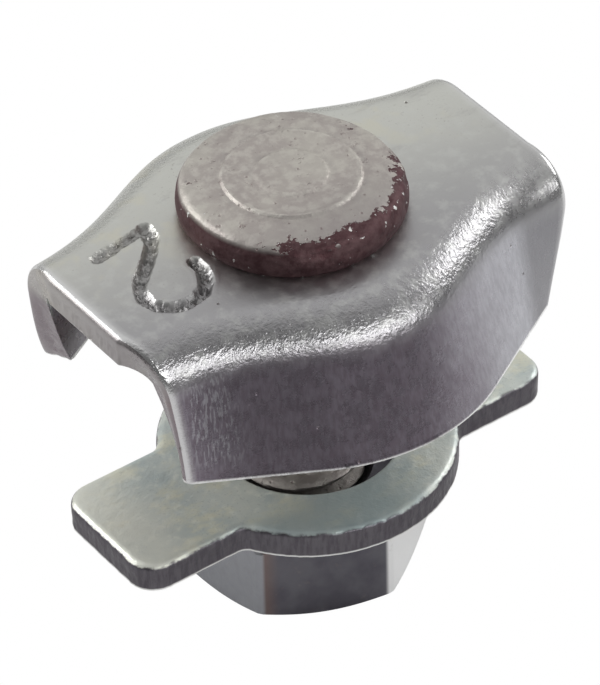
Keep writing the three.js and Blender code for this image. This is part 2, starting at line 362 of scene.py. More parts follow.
def cap_rows():
    """Rows across half the cap, from the middle line to the foot: (fixed distance, share, lift)."""
    beside_hole = spaced(HOLE_HALF, STRAIGHT, 0.05)[1:]
    fixed = np.concatenate([spaced(0, HOLE_HALF, 0.038), [HOLE_HALF], beside_hole, [STRAIGHT]])
    shares = np.linspace(0, 1, 62)[1:-1] ** 0.96
    rows = [(v, 0.0, 0.0) for v in fixed] + [(0.0, s, 0.0) for s in shares]
    return rows + [(0.0, 1.0, lift) for lift in edge_steps()[::-1]]


def cap_columns():
    """u of the columns from end to end, with the distance from the end of those beside it. They
    are closest together across the numeral."""
    inner = CAP_HALF - EDGE * 1.6
    x = np.concatenate(
        [
            spaced(-inner, -6.1, 0.09),
            spaced(-6.1, -3.3, 0.037),
            spaced(-3.3, -HOLE_HALF, 0.12),
            spaced(-HOLE_HALF, HOLE_HALF, 0.16),
            spaced(HOLE_HALF, inner, 0.15),
            [inner],
        ]
    )
    steps = edge_steps()
    left = [(-1.0, d) for d in steps]
    right = [(1.0, d) for d in steps[::-1]]
    return left + [(v / CAP_HALF, None) for v in x] + right


def cap_depths():
    """Depths across the sheet's thickness, closer together at the rounding."""
    near = edge_steps()
    return np.concatenate([near, np.linspace(EDGE, SHEET - 0.06, 9)[1:], [SHEET - 0.025, SHEET]])


def cap_patch(grid):
    """Points of a grid after its edges are rounded. grid is the u of each point, its distance from
    the end, its fixed distance, share, side, lift and depth."""
    u, from_end, fixed, share, side, lift, depth = grid
    end = end_distance(u, np.where(share > 0, 1 + 2 * share, 0.5), side)
    a = np.where(np.isnan(from_end), (1 - np.abs(u)) * end, from_end)
    b = np.where(share >= 1, lift, 10.0)
    a2, b2, c2 = rounded(a, b, depth, EDGE)
    # the inner edges are only broken
    broken = np.maximum(INNER_EDGE - (SHEET - depth), 0) * 0.6
    a2 = a2 + np.where(a < INNER_EDGE, broken, 0)
    u2 = np.where(a < 1, np.sign(u) * (1 - a2 / end), u)
    return u2, fixed, share, side, np.where(share >= 1, b2, 0), c2


def shear_roughness(x, y, z, depth):
    """How far the sheared end faces are torn back: smooth under the rounded edge, rough below."""
    torn = smoothstep(0.3, 0.62, depth)
    grain = 0.5 + 0.5 * noise(x, y, z, 0.16, 21)
    lines = 0.5 + 0.5 * noise(x * 6, y * 6, z * 1.2, 0.5, 22)
    return torn * (0.05 * grain + 0.035 * lines) * smoothstep(SHEET, SHEET - 0.08, depth)


def full_grid(*values):
    """Values of different shapes, spread over one grid."""
    return [np.asarray(v, float) for v in np.broadcast_arrays(*values)]


MARKED = 1.2  # how far below the top the marks are looked for


def cap_outer_grid(grid):
    """The outer face, with the marks pressed into it."""
    u, fixed, share, side, lift, depth = cap_patch(grid)
    plain, _ = cap_outer(u, fixed, share, lift, side)
    x, y, z = plain[..., 0], plain[..., 1], plain[..., 2]
    away = smoothstep(0, 0.35, (1 - np.abs(u)) * CAP_HALF)
    waves = 0.004 * (1 + noise(x, y, z, 1.3, 3))
    on_top = z > CAP_TOP - MARKED
    marks = (np.where(on_top, cap_marks(x, y), 0) + waves) * away
    groove = np.where(on_top, numeral_depth(x, y), 0)
    return (*cap_point(u, fixed, share, side, lift, depth + np.maximum(marks, 0)), groove)


def cap_torn_grid(grid):
    """An end face, torn back below its rounded edge."""
    u, fixed, share, side, lift, depth = cap_patch(grid)
    point, _ = cap_point(u, fixed, share, side, lift, depth)
    back = shear_roughness(point[..., 0], point[..., 1], point[..., 2], grid[-1])
    u = u - np.sign(u) * back / CAP_HALF
    return cap_point(u, fixed, share, side, lift, depth)


def cap_plain_grid(grid):
    """The inner face, or the foot."""
    u, fixed, share, side, lift, depth = cap_patch(grid)
    return cap_point(u, fixed, share, side, lift, depth)


GROOVE_FULL = 0.17  # depth from which the material takes a groove as a full one


def build_cap(material):
    columns = cap_columns()
    half = cap_rows()
    u = np.array([c[0] for c in columns])[:, None]
    from_end = np.array([np.nan if c[1] is None else c[1] for c in columns])[:, None]
    side = np.concatenate([-np.ones(len(half) - 1), np.ones(len(half))])[None, :]
    order = list(range(len(half) - 1, 0, -1)) + list(range(len(half)))
    fixed, share, lift = np.array([half[k] for k in order]).T[:, None, :]
    depths = cap_depths()
    grids = [
        (*cap_outer_grid(full_grid(u, from_end, fixed, share, side, lift, 0.0)), 0.0),
        (*cap_plain_grid(full_grid(u, from_end, fixed, share, side, lift, SHEET)), 0.0, 0.0),
    ]
    for end in (-1.0, 1.0):
        face = full_grid(end, 0.0, fixed, share, side, lift, depths[:, None])
        grids.append((*cap_torn_grid(face), 0.0, 1.0))
    for edge in (-1.0, 1.0):
        foot = full_grid(u, from_end, 0.0, 1.0, edge, 0.0, depths[None, :])
        grids.append((*cap_plain_grid(foot), 0.0, 0.0))
    points, quads, parts, grooves, torn, start = [], [], [], [], [], 0
    for point, part, groove, tear in grids:
        points.append(point.reshape(-1, 3))
        parts.append(part.ravel())
        grooves.append(np.broadcast_to(groove, part.shape).ravel())
        torn.append(np.full(part.size, tear))
        quads.append(grid_faces(*part.shape, start))
        start += part.size
    points = np.concatenate(points)
    quads = np.concatenate(quads)
    parts = np.concatenate(parts)
    torn = np.concatenate(torn)
    side = np.where(points[:, 1] < 0, -1.0, 1.0)
    end = end_distance(np.sign(points[:, 0]), parts, side)
    # where the rolled edges are, which the material paints pale as a painted highlight
    roll = smoothstep(EDGE * 1.25, EDGE * 0.6, end - np.abs(points[:, 0])) * (torn < 0.5)
    # the faces over the square hole are left out
    centre = points[quads].mean(1)
    inside = (np.abs(centre[:, 0]) < HOLE_HALF) & (np.abs(centre[:, 1]) < HOLE_HALF)
    values = {
        "part": parts,
        "torn": torn,
        "roll": roll,
        # groove depth, which the material also paints dark as painted shade
        "groove": np.clip(np.concatenate(grooves) / GROOVE_FULL, 0, 1),
    }
    make_piece(
        "bridge_cap_pressing", points, quads[~inside], "bridge", "bridge_cap",
        material, values=values,
    )


# ---- threads

THREAD_CREST, THREAD_ROOT, PITCH, CLEARANCE = 2.0, 1.57, 0.7, 0.12
GROOVE_END, CREST_START, CREST_END = 0.25, 0.5625, 0.6875  # shares of a pitch
FLANK_ROUNDING = 0.3


def thread_radius(angle, z, extra=0.0):
    """Radius of the thread's skin: root, rising flank, crest, falling flank."""
    f = (z / PITCH - angle / (2 * math.pi)) % 1.0
    up = np.clip((f - GROOVE_END) / (CREST_START - GROOVE_END), 0, 1)
    down = np.clip((f - CREST_END) / (1 - CREST_END), 0, 1)
    share = lerp(up - down, smoothstep(0, 1, up - down), FLANK_ROUNDING)
    return THREAD_ROOT + extra + (THREAD_CREST - THREAD_ROOT) * share


def polar(radius, angle, z):
    """Points round the Z axis."""
    return np.stack(np.broadcast_arrays(radius * np.cos(angle), radius * np.sin(angle), z), -1)


# ---- clamp screw

HEAD_PROFILE = [  # radius, height over the cap, from the middle out and down
    (0.35, 1.318),
    (0.8, 1.312),
    (1.0, 1.302),
    (1.1, 1.25),
    (1.25, 1.235),
    (1.8, 1.255),
    (1.93, 1.29),
    (2.0, 1.285),
    (2.08, 1.205),
    (2.2, 1.2),
    (2.5, 1.195),
    (2.8, 1.15),
    (3.0, 1.11),
    (3.13, 1.06),
    (3.22, 0.98),
    (3.29, 0.86),
    (3.34, 0.68),
    (3.37, 0.44),
    (3.36, 0.26),
    (3.31, 0.12),
    (3.2, 0.0),
]


def resampled(profile, step):
    """A profile with more points, evenly spread along it."""
    p = np.array(profile, float)
    length = np.concatenate([[0], np.cumsum(np.hypot(*np.diff(p, axis=0).T))])
    at = np.linspace(0, length[-1], int(length[-1] / step) + 1)
    return np.interp(at, length, p[:, 0]), np.interp(at, length, p[:, 1])


def head_outline(angle):
    """The head's outline as a share of a round one: a little square, and uneven."""
    wobble = noise(3 * np.cos(angle), 3 * np.sin(angle), 0, 1.0, 31)
    return 1 - 0.016 * (1 - np.cos(4 * (angle + 0.62))) / 2 - 0.004 * (1 + wobble)


def head_wear(x, y, z):
    """Depth of pits and chips in the head."""
    pits = np.clip(noise(x, y, z, 0.16, 41) - 0.5, 0, 1) * 0.05
    lumps = 0.004 * (1 + noise(x, y, z, 0.6, 42))
    edge = smoothstep(2.6, 3.1, np.hypot(x, y))
    near = smoothstep(0.2, 0.9, -0.75 * y / 3.3 + 0.25 * x / 3.3 + 0.15)
    chips = np.clip(noise(x, y, z * 1.5, 0.38, 43) + 0.25 * noise(x, y, z, 0.14, 44), 0, 1)
    return pits + lumps + 0.08 * chips * edge * (0.2 + 0.8 * near)


HEAD_RADIUS = 3.38
HEAD_RINGS = (1.04, 2.02)  # radii of the two raised rings
NECK_HALF, NECK_CORNER = 2.0, 2.72  # half across the neck's flats, and the radius of its corners
RUN_OUT_START, RUN_OUT_END = 1.38, 1.9  # depths below the cap's top between which the thread grows
SHANK, POINT, POINT_FLAT = 1.75, 1.5, 1.45  # radii of the run-out, the end's chamfer and its face
ROWS_PER_PITCH = 14


def build_screw(material):
    count = 192
    angle = np.linspace(0, 2 * math.pi, count, endpoint=False)[None, :]
    rings = []
    radius, height = resampled(HEAD_PROFILE, 0.055)
    radius, height = radius[:, None], height[:, None]
    out = smoothstep(1.8, 3.0, radius)
    r = radius * lerp(1.0, head_outline(angle), out)
    wear = head_wear(r * np.cos(angle), r * np.sin(angle), height)
    wear = wear * smoothstep(0.0, 0.12, height) * smoothstep(0.1, 0.5, radius)
    z = CAP_TOP + height - wear * smoothstep(HEAD_RADIUS, 3.0, radius)
    r = r - wear * smoothstep(2.8, 3.3, radius)
    rings.append(polar(r, angle, np.maximum(z, CAP_TOP)))
    # square neck with broken corners
    neck = NECK_HALF / np.maximum(np.abs(np.cos(angle)), np.abs(np.sin(angle)))
    for depth in (0.0, 0.35, 0.7, SHEET):
        rings.append(polar(np.minimum(neck, NECK_CORNER), angle, CAP_TOP - depth))
    for depth in (SHEET, 1.2, 1.35):
        rings.append(polar(SHANK, angle, CAP_TOP - depth))
    levels = np.arange(CAP_TOP - RUN_OUT_START, SCREW_END, -PITCH / ROWS_PER_PITCH)[:, None]
    run_out = smoothstep(CAP_TOP - RUN_OUT_START, CAP_TOP - RUN_OUT_END, levels)
    thread = lerp(SHANK, thread_radius(angle, levels), run_out)
    nick = 0.02 * noise(2 * np.cos(angle), 2 * np.sin(angle), levels, 0.3, 51)
    thread = np.minimum(thread - np.maximum(nick, 0), POINT + (levels - SCREW_END))
    rings.append(polar(thread, angle, levels))
    for radius in (POINT_FLAT, 0.5):
        rings.append(polar(radius, angle, SCREW_END))
    grid = np.concatenate(rings)
    rows = len(grid)
    points = np.concatenate([grid.reshape(-1, 3), [[0, 0, HEAD_TOP], [0, 0, SCREW_END]]])
    top, bottom = rows * count, rows * count + 1
    last = (rows - 1) * count
    fans = [(top, (j + 1) % count, j) for j in range(count)]
    fans += [(bottom, last + j, last + (j + 1) % count) for j in range(count)]
    make_piece(
        "clamp_screw_turned", points, grid_faces(rows, count, closed=True), "bridge",
        "clamp_screw", material, fans=fans, sharp_deg=30,
    )


# ---- clamp plate

DISC, LUG_LENGTH, LUG_WIDTH, LUG_CORNER, PLATE_HOLE = 4.5, 7.42, 2.2, 0.85, 2.75
PLATE_X, PLATE_Y = 0.25, -0.13  # the plate hangs to one side of the screw
NOTCH = 0.45  # fillet where a lug leaves the disc
PLATE_ROLL = 0.24  # rounding of the outline's upper edge
HOLE_ROLL = 0.12  # and of the hole's
BURR = 0.07  # how far the wall's foot is torn in


def arc(cx, cy, radius, start, stop, step=0.055):
    """Points along an arc, about a step apart."""
    count = max(3, int(abs(stop - start) * radius / step))
    t = np.linspace(start, stop, count)
    return [(cx + radius * math.cos(v), cy + radius * math.sin(v)) for v in t]


def plate_quarter():
    """A quarter of the outline, from the lug's tip on the X axis to the disc on the Y axis."""
    tip = LUG_LENGTH - LUG_CORNER
    cy = LUG_WIDTH + NOTCH
    cx = math.sqrt((DISC + NOTCH) ** 2 - cy**2)
    meet = math.atan2(cy, cx)
    points = [(LUG_LENGTH, y) for y in np.linspace(0, LUG_WIDTH - LUG_CORNER, 16)[:-1]]
    points += arc(tip, LUG_WIDTH - LUG_CORNER, LUG_CORNER, 0, math.pi / 2)
    points += [(x, LUG_WIDTH) for x in np.linspace(tip, cx, 20)[1:-1]]
    points += arc(cx, cy, NOTCH, -math.pi / 2, meet - math.pi)
    points += arc(0, 0, DISC, meet, math.pi / 2)[1:]
    return np.array(points)


def plate_outline():
    """The whole outline, from the quarter and its mirror images."""
    q = plate_quarter()
    upper = np.concatenate([q, q[-2:0:-1] * [-1, 1]])
    left = np.array([[-LUG_LENGTH, 0.0]])
    lower = upper[:0:-1] * [1, -1]
    return np.concatenate([upper, left, lower])


def outline_normals(p):
    """Outward directions at a closed outline's points."""
    tangent = np.roll(p, -1, 0) - np.roll(p, 1, 0)
    normal = np.stack([tangent[:, 1], -tangent[:, 0]], -1)
    return normal / np.linalg.norm(normal, axis=1, keepdims=True)


def build_plate(material):
    outline = plate_outline()
    normal = outline_normals(outline)
    radial = outline / np.linalg.norm(outline, axis=1, keepdims=True)
    hole = radial * PLATE_HOLE
    rows = []

    def row(xy, z):
        rows.append(np.concatenate([xy, np.broadcast_to(z, (len(xy),))[:, None]], 1))

    def waved(xy):
        return 0.006 * (1 + noise(xy[:, 0], xy[:, 1], 0, 1.6, 61))

    inner_top = hole + radial * HOLE_ROLL
    rim = outline - normal * PLATE_ROLL
    for t in np.linspace(0, 1, 22):
        xy = lerp(inner_top, rim, t)
        row(xy, PLATE_TOP - waved(xy) * (t > 0))
    rim_drop = waved(rim)
    for t in np.linspace(0, math.pi / 2, 7)[1:]:
        xy = outline - normal * PLATE_ROLL * (1 - math.sin(t))
        fall = rim_drop * (1 - t / (math.pi / 2)) + PLATE_ROLL * (1 - math.cos(t))
        row(xy, PLATE_TOP - fall)
    # the wall: smooth at first, then torn, with lines that run down it
    along = np.cumsum(np.hypot(*(outline - np.roll(outline, 1, 0)).T))
    for z in np.linspace(PLATE_ROLL, SHEET - 0.05, 10)[1:]:
        torn = smoothstep(0.4, 0.62, z)
        lines = 0.5 + 0.5 * noise(along, 0, z * 0.25, 0.09, 63)
        grain = 0.5 + 0.5 * noise(along, 0, z, 0.13, 64)
        back = 0.006 * lines + torn * (0.012 * lines + 0.012 * grain)
        row(outline - normal * back[:, None], PLATE_TOP - z)
    foot = outline - normal * BURR
    for t in np.linspace(0, 1, 8):
        row(lerp(foot, hole + radial * 0.03, t), PLATE_BOTTOM)
    row(hole, PLATE_BOTTOM + 0.03)
    for z in np.linspace(0.2, SHEET - HOLE_ROLL, 5):
        row(hole, PLATE_BOTTOM + z)
    for t in np.linspace(0, math.pi / 2, 4)[1:-1]:
        xy = hole + radial * HOLE_ROLL * (1 - math.cos(t))
        row(xy, PLATE_TOP - HOLE_ROLL * (1 - math.sin(t)))
    grid = np.array(rows) + [PLATE_X, PLATE_Y, 0]
    make_piece(
        "clamp_plate_pressing", grid.reshape(-1, 3), ring_faces(grid), "plate", "clamp_plate",
        material,
    )


# ---- nut

NUT_FLATS = 7.0
NUT_FACE, NUT_MOUTH = 3.3, 2.25  # outer and inner radius of the flat end faces
NUT_SLOPE = math.tan(math.pi / 6)  # of the outer chamfer
NUT_CORNER = 0.988  # how far out the broken corners reach, as a share of the sharp ones
NUT_EDGE = 0.05  # rounding between chamfer and flats
NUT_TURN = math.radians(6.2)  # of the flats away from facing X


def nut_angles():
    """Angles round the nut from one flat's middle on, closer together at its six corners."""
    inside = np.arctan(np.tan(math.pi / 6) * np.linspace(-1, 1, 41)[:-1])
    near = math.pi / 6 - np.array([0.004, 0.009, 0.016, 0.024])
    inside = np.sort(np.concatenate([inside, near, -near]))
    return np.concatenate([inside + k * math.pi / 3 for k in range(6)])


def hex_radius(angle, half):
    """Radius of a hexagon with flats facing X, its corners broken."""
    folded = np.abs((angle + math.pi / 6) % (math.pi / 3) - math.pi / 6)
    return np.minimum(half / np.cos(folded), NUT_CORNER * half / math.cos(math.pi / 6))


def build_nut(material):
    from_flat = nut_angles()[None, :]
    angle = from_flat + NUT_TURN
    outline = hex_radius(from_flat, NUT_FLATS / 2)
    chamfer = (outline - NUT_FACE) * NUT_SLOPE
    edge = NUT_EDGE
    x, y = outline * np.cos(angle), outline * np.sin(angle)
    rows = []

    def ring(radius, z):
        rows.append(polar(radius, angle, z))

    for r in np.linspace(NUT_MOUTH, NUT_FACE - 0.06, 8):
        ring(r, 0.0)
    ring(NUT_FACE, 0.012)
    for t in np.linspace(0, 1, 7)[1:-1]:
        r = lerp(NUT_FACE, outline - edge, t)
        ring(r, (r - NUT_FACE) * NUT_SLOPE + 0.006)
    ring(outline - edge * 0.5, chamfer + 0.008)
    ring(outline - edge * 0.12, chamfer + edge * 0.6)
    span = NUT_TOP - 2 * (chamfer + edge)
    for t in np.linspace(0, 1, 15):
        z = chamfer + edge + span * t
        hollow = 0.006 * (1 + noise(x, y, z, 0.9, 71)) * (0.4 + 0.6 * math.sin(math.pi * t))
        ring(outline - hollow, z)
    ring(outline - edge * 0.12, NUT_TOP - chamfer - edge * 0.6)
    ring(outline - edge * 0.5, NUT_TOP - chamfer - 0.008)
    for t in np.linspace(1, 0, 7)[1:-1]:
        r = lerp(NUT_FACE, outline - edge, t)
        ring(r, NUT_TOP - (r - NUT_FACE) * NUT_SLOPE - 0.006)
    ring(NUT_FACE, NUT_TOP - 0.012)
    for r in np.linspace(NUT_FACE - 0.06, NUT_MOUTH, 8):
        ring(r, NUT_TOP)
    z = np.linspace(NUT_TOP, 0, 66)[1:-1, None]
    thread = thread_radius(angle, z, CLEARANCE)
    mouth = np.maximum(NUT_MOUTH - z, NUT_MOUTH - (NUT_TOP - z))
    ring(np.maximum(thread, mouth), z)
    grid = np.concatenate(rows)
    make_piece(
        "hex_nut_forged", grid.reshape(-1, 3), ring_faces(grid), "nut", "hex_nut",
        material, sharp_deg=24,
    )


# ---- materials


class Nodes:
    """Short calls that add nodes to one material and link them."""

    def __init__(self, name):
        self.material = bpy.data.materials.new(name)
        self.material.use_nodes = True
        self.tree = self.material.node_tree
        self.shader = self.tree.nodes["Principled BSDF"]
        self.shader.inputs["Metallic"].default_value = 1.0
        coordinate = self.tree.nodes.new("ShaderNodeTexCoord")
        scaled = self.new("ShaderNodeVectorMath", operation="SCALE")
        scaled.inputs["Scale"].default_value = 1 / MM
        self.put(scaled.inputs[0], coordinate.outputs["Object"])
        self.millimetres = scaled.outputs[0]

    def new(self, kind, **settings):
        node = self.tree.nodes.new(kind)
        for key, value in settings.items():
            setattr(node, key, value)
        return node

    def put(self, socket, value):
        if isinstance(value, bpy.types.NodeSocket):
            self.tree.links.new(value, socket)
        elif isinstance(value, tuple) and len(value) == 3 and socket.type == "RGBA":
            socket.default_value = (*value, 1.0)
        else:
            socket.default_value = value

    def math(self, operation, a, b):
        node = self.new("ShaderNodeMath", operation=operation)
        self.put(node.inputs[0], a)
        self.put(node.inputs[1], b)
        return node.outputs[0]

    def plus(self, a, b):
        return self.math("ADD", a, b)

    def times(self, a, b, *more):
        product = self.math("MULTIPLY", a, b)
        for factor in more:
            product = self.math("MULTIPLY", product, factor)
        return product

    def stretched(self, scale, turn=(0.0, 0.0, 0.0)):
        """The point in millimetres, scaled and turned."""
        node = self.new("ShaderNodeMapping")
        self.put(node.inputs["Vector"], self.millimetres)
        node.inputs["Rotation"].default_value = turn
        node.inputs["Scale"].default_value = scale
        return node.outputs[0]

    def noise(self, size, detail=3.0, roughness=0.55, vector=None):
        """Noise with features about size millimetres wide."""
        node = self.new("ShaderNodeTexNoise")
        self.put(node.inputs["Vector"], vector or self.millimetres)
        node.inputs["Scale"].default_value = 1.0 / size
        node.inputs["Detail"].default_value = detail
        node.inputs["Roughness"].default_value = roughness
        return node.outputs["Fac"]

    def cells(self, size):
        """Distance to the nearest of points scattered about size millimetres apart."""
        node = self.new("ShaderNodeTexVoronoi")
        self.put(node.inputs["Vector"], self.millimetres)
        node.inputs["Scale"].default_value = 1.0 / size
        return node.outputs["Distance"]

    def span(self, value, low, high, to_low=0.0, to_high=1.0):
        """A smooth step as a value goes from low to high."""
        node = self.new("ShaderNodeMapRange", interpolation_type="SMOOTHSTEP")
        for socket, v in zip(node.inputs, (value, low, high, to_low, to_high)):
            self.put(socket, v)
        return node.outputs[0]

    def mix(self, factor, a, b):
        """Colour a turning to colour b as the factor goes to 1."""
        node = self.new("ShaderNodeMix", data_type="RGBA")
        self.put(node.inputs[0], factor)
        self.put(node.inputs[6], a)
        self.put(node.inputs[7], b)
        return node.outputs[2]

    def attribute(self, name):
        return self.new("ShaderNodeAttribute", attribute_name=name).outputs["Fac"]

    def position(self):
        """x, y and z of the point in millimetres."""
        node = self.new("ShaderNodeSeparateXYZ")
        self.put(node.inputs[0], self.millimetres)
        return node.outputs

    def along(self, x, y, angle):
        """How far the point lies from the screw's axis in the direction of an angle."""
        return self.plus(self.times(x, math.cos(angle)), self.times(y, math.sin(angle)))

    def bump(self, height, depth, normal=None):
        """Height from 0 to 1, raised by depth millimetres."""
        node = self.new("ShaderNodeBump")
        node.inputs["Strength"].default_value = 1.0
        node.inputs["Distance"].default_value = depth * MM
        self.put(node.inputs["Height"], height)
        if normal is not None:
            self.put(node.inputs["Normal"], normal)
        return node.outputs[0]

    def finish(self, color, roughness, normal):
        self.put(self.shader.inputs["Base Color"], color)
        self.put(self.shader.inputs["Roughness"], roughness)
        self.put(self.shader.inputs["Normal"], normal)
        return self.material


def cap_material():
    n = Nodes("cap_zinc_plating")
    x, y, z = n.position()
    part = n.attribute("part")
    torn = n.attribute("torn")
    groove = n.attribute("groove")
    cloud = n.noise(2.6, 4.0)
    mottle = n.noise(0.45, 4.0, 0.6)
    grain = n.noise(0.07, 3.0, 0.6)
    specks = n.span(n.cells(0.62), 0.1, 0.05)
    pits = n.times(specks, n.span(n.noise(1.1, 2.0), 0.56, 0.66))
    flange = n.span(part, 1.72, 2.12)
    bend = n.times(n.span(part, 1.0, 1.25), n.span(part, 2.1, 1.75))
    streaks = n.noise(0.11, 3.0, 0.6, n.stretched((1.0, 1.0, 0.16)))
    # painted reflection: the zinc is painted paler towards the far right and darker towards the
    # near side
    painted_far_reflection = n.plus(y, n.times(cloud, 1.2))
    painted_far_reflection = n.span(n.plus(painted_far_reflection, n.times(x, 0.12)), -3.2, 3.6)
    zinc = n.mix(painted_far_reflection, (0.41, 0.405, 0.415), (0.66, 0.665, 0.62))
    zinc = n.mix(n.span(mottle, 0.45, 0.7, 0.0, 0.35), zinc, (0.70, 0.71, 0.68))
    speck = n.span(n.noise(0.09, 3.0, 0.7), 0.6, 0.7)
    speck = n.times(speck, n.span(cloud, 0.45, 0.6, 0.15, 0.5))
    zinc = n.mix(speck, zinc, (0.36, 0.34, 0.32))
    tint = n.span(n.noise(1.5, 3.0, 0.6, n.stretched((1.0, 1.0, 1.0), (0.4, 0.2, 1.0))), 0.5, 0.66)
    zinc = n.mix(n.times(tint, n.span(y, -1.0, 2.0, 0.0, 0.5)), zinc, (0.70, 0.68, 0.56))
    smudge = n.noise(0.9, 5.0, 0.7, n.stretched((0.5, 1.3, 1.0), (0.0, 0.0, 0.5)))
    zinc = n.mix(n.span(smudge, 0.55, 0.72, 0.0, 0.35), zinc, (0.42, 0.41, 0.40))
    # the flanges: a purple tint painted dark as a painted reflection, paler and bluer to the right
    # as painted light, brown with rust at the front one's left end
    purple_and_painted_reflection = n.mix(n.span(streaks, 0.35, 0.65), (0.22, 0.185, 0.22), (0.265, 0.235, 0.275))
    blue_and_painted_light = n.mix(n.span(streaks, 0.35, 0.65), (0.52, 0.52, 0.555), (0.60, 0.60, 0.64))
    side = n.mix(n.span(n.plus(x, n.times(cloud, 3.0)), 1.0, 7.0), purple_and_painted_reflection, blue_and_painted_light)
    # painted shade: the flanges are painted darker towards their right end
    side = n.mix(n.span(x, 5.0, 6.0, 0.0, 0.85), side, (0.29, 0.285, 0.30))
    rust = n.span(n.plus(x, n.times(mottle, 0.6)), -6.2, -6.75)
    rust = n.times(rust, n.span(y, 0.0, -1.0))
    side = n.mix(n.times(rust, 0.75), side, (0.25, 0.13, 0.10))
    scratches = n.span(n.noise(0.07, 2.0, 0.6, n.stretched((1.0, 1.0, 0.1))), 0.5, 0.62)
    patch = n.times(n.span(x, -6.5, -6.0), n.span(x, -4.6, -5.4), n.span(y, 0.0, -1.0))
    patch = n.times(patch, n.span(z, CAP_FOOT + 0.3, CAP_FOOT + 1.1), 0.45)
    side = n.mix(n.times(scratches, patch), side, (0.62, 0.62, 0.66))
    colour = n.mix(flange, zinc, side)
    # painted shade: the numeral's grooves are painted dark
    colour = n.mix(n.span(groove, 0.12, 0.7, 0.0, 0.55), colour, (0.17, 0.16, 0.165))
    colour = n.mix(n.times(pits, 0.75), colour, (0.14, 0.12, 0.11))
    colour = n.mix(n.times(torn, 0.55), colour, (0.34, 0.30, 0.30))
    # painted highlight: a near-white line along the foot, not metallic there
    rim = n.times(n.span(z, CAP_FOOT + 0.2, CAP_FOOT + 0.13), n.span(part, 2.0, 2.3))
    rim = n.times(rim, n.span(mottle, 0.3, 0.5, 0.7, 1.0))
    colour = n.mix(rim, colour, (0.97, 0.97, 0.96))
    n.put(n.shader.inputs["Metallic"], n.math("SUBTRACT", 1.0, rim))
    # painted highlight: the rolled edges at the cap's ends are painted pale
    roll = n.attribute("roll")
    colour = n.mix(n.times(roll, 0.8), colour, (0.80, 0.80, 0.80))
    rough = n.span(mottle, 0.3, 0.7, 0.36, 0.44)
    rough = n.plus(rough, n.times(n.math("MAXIMUM", flange, bend), -0.12))
    rough = n.plus(rough, n.times(roll, -0.1))
    rough = n.plus(rough, n.times(pits, 0.2))
    normal = n.bump(n.noise(0.4, 2.0, 0.5), 0.006)
    # orange peel where the sheet was stretched round the bend
    peel = n.plus(n.noise(0.17, 3.0, 0.6), n.times(n.noise(0.08, 2.0), 0.35))
    rough_bend = n.times(bend, n.span(x, 6.2, 3.6, 0.25, 1.0))
    normal = n.bump(n.times(peel, rough_bend), 0.03, normal)
    normal = n.bump(grain, 0.004, normal)
    normal = n.bump(n.times(n.noise(0.14, 2.0), groove), 0.035, normal)
    normal = n.bump(n.times(streaks, flange), 0.005, normal)
    normal = n.bump(n.times(pits, -1.0), 0.02, normal)
    return n.finish(colour, rough, normal)


